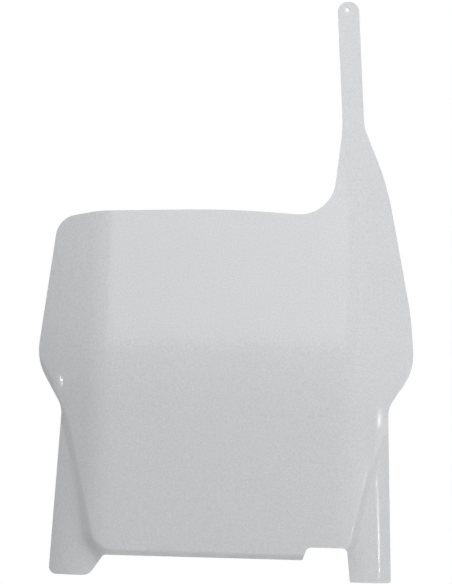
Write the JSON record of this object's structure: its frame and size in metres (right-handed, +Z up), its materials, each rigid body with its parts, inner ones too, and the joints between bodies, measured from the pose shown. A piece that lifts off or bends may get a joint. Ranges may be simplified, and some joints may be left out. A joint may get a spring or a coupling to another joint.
{
  "type": "racing number board",
  "caption": "Moulded off-road motorcycle front number board: ridged face, folded wings, stepped legs, a hose notch and a handlebar strap with a buttonhole.",
  "frame": {"origin": "on the flat back of the upper panel, in the plane of symmetry of the body, 200 mm above the feet", "axes": "+X to the right of someone facing the board, +Y backwards towards the fork, +Z up; the numbered face looks along -Y"},
  "size_m": [0.2408, 0.049, 0.3734],
  "materials": {
    "board": "white polypropylene, moulded with a light gloss"
  },
  "bodies": {
    "root": {"number_board": "board"}
  },
  "joints": []
}
